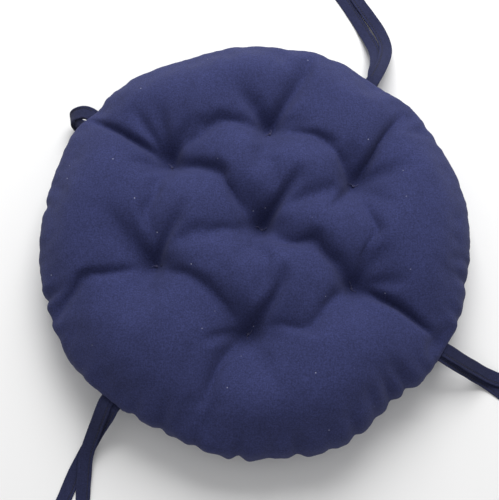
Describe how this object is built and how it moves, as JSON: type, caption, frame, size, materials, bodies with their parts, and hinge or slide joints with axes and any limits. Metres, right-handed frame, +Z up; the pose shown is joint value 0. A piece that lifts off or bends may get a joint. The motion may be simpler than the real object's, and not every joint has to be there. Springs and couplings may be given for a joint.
{
  "type": "tufted seat cushion with ties",
  "caption": "Round knife-edge seat cushion, tufted through at points over its face, with pairs of flat fabric ties sewn into the seam for fastening it to a chair.",
  "frame": {"origin": "on the surface the cushion lies on, below the middle of the round panels", "axes": "+Z up, through the thickness of the cushion; -Y is the front edge; the ties leave the seam at 54, 141.5, 230.5 and 327.5 degrees from +X"},
  "size_m": [0.5436, 0.5968, 0.0807],
  "materials": {
    "cover_fabric": "navy blue plain-weave cotton",
    "tie_fabric": "folded and stitched tape of the same navy cotton",
    "thread": "dark blue sewing thread",
    "fibre": "loose white polyester fibre"
  },
  "bodies": {
    "root": {"top_cover": "cover_fabric", "bottom_cover": "cover_fabric", "fibre_filling": "fibre", "seam_needle_thread": "thread", "seam_bobbin_thread": "thread", "closing_thread": "thread", "tuft_thread_centre": "thread", "tuft_thread_back": "thread", "tuft_thread_back_right": "thread", "tuft_thread_front_right": "thread", "tuft_thread_front": "thread", "tuft_thread_front_left": "thread", "tuft_thread_back_left": "thread", "tie_back_right_upper": "tie_fabric", "tie_back_right_lower": "tie_fabric", "tie_back_left_upper": "tie_fabric", "tie_back_left_lower": "tie_fabric", "tie_front_left_upper": "tie_fabric", "tie_front_left_lower": "tie_fabric", "tie_front_right_upper": "tie_fabric", "tie_front_right_lower": "tie_fabric"}
  },
  "joints": []
}
